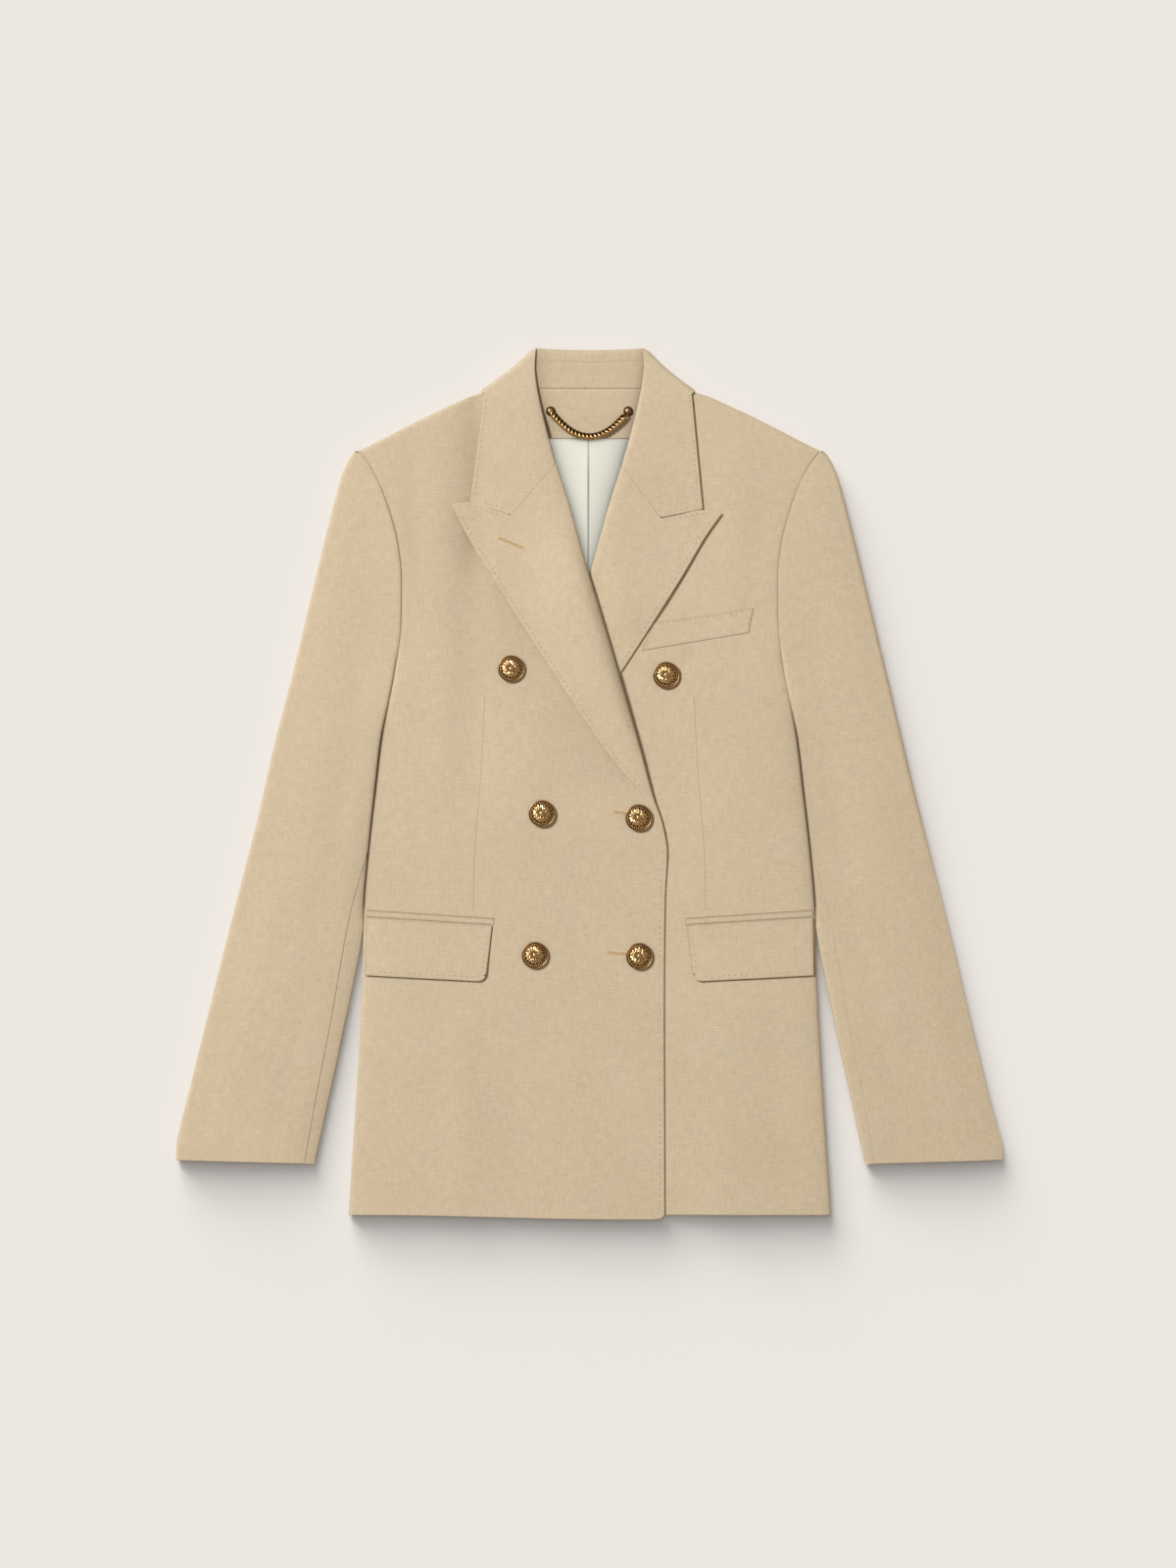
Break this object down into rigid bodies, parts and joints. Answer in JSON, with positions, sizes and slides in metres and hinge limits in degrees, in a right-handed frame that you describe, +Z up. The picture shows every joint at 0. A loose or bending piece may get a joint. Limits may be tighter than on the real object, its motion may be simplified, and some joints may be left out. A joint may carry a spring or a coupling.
{
  "type": "double breasted blazer",
  "caption": "Double breasted blazer laid flat: peak lapels, folded collar, long two-piece sleeves, flap pockets, breast welt, domed metal buttons and a hanger chain.",
  "frame": {"origin": "centre of the bounding box at the level of the surface the blazer rests on", "axes": "+Z up out of the fronts that show, +Y from hem to collar, +X towards the wearer's left"},
  "size_m": [0.7384, 0.7779, 0.016],
  "materials": {
    "wool": "plain weave, matt",
    "lining": "satin",
    "metal": "aged, half polished"
  },
  "bodies": {
    "root": {"front_right": "wool", "front_left": "wool", "side_panel_right": "wool", "side_panel_left": "wool", "back_right": "wool", "back_left": "wool", "sleeve_top_right": "wool", "sleeve_top_left": "wool", "sleeve_under_right": "wool", "sleeve_under_left": "wool", "lapel_right": "wool", "lapel_left": "wool", "collar_fall": "wool", "collar_stand": "wool", "neck_facing": "wool", "body_lining": "lining", "pocket_flap_right": "wool", "pocket_flap_left": "wool", "pocket_jet_right": "wool", "pocket_jet_left": "wool", "breast_welt": "wool", "button_chest_right": "metal", "button_chest_left": "metal", "button_waist_right": "metal", "button_waist_left": "metal", "button_low_right": "metal", "button_low_left": "metal", "chain_stud_right": "metal", "chain_stud_left": "metal", "hanger_chain": "metal"}
  },
  "joints": []
}
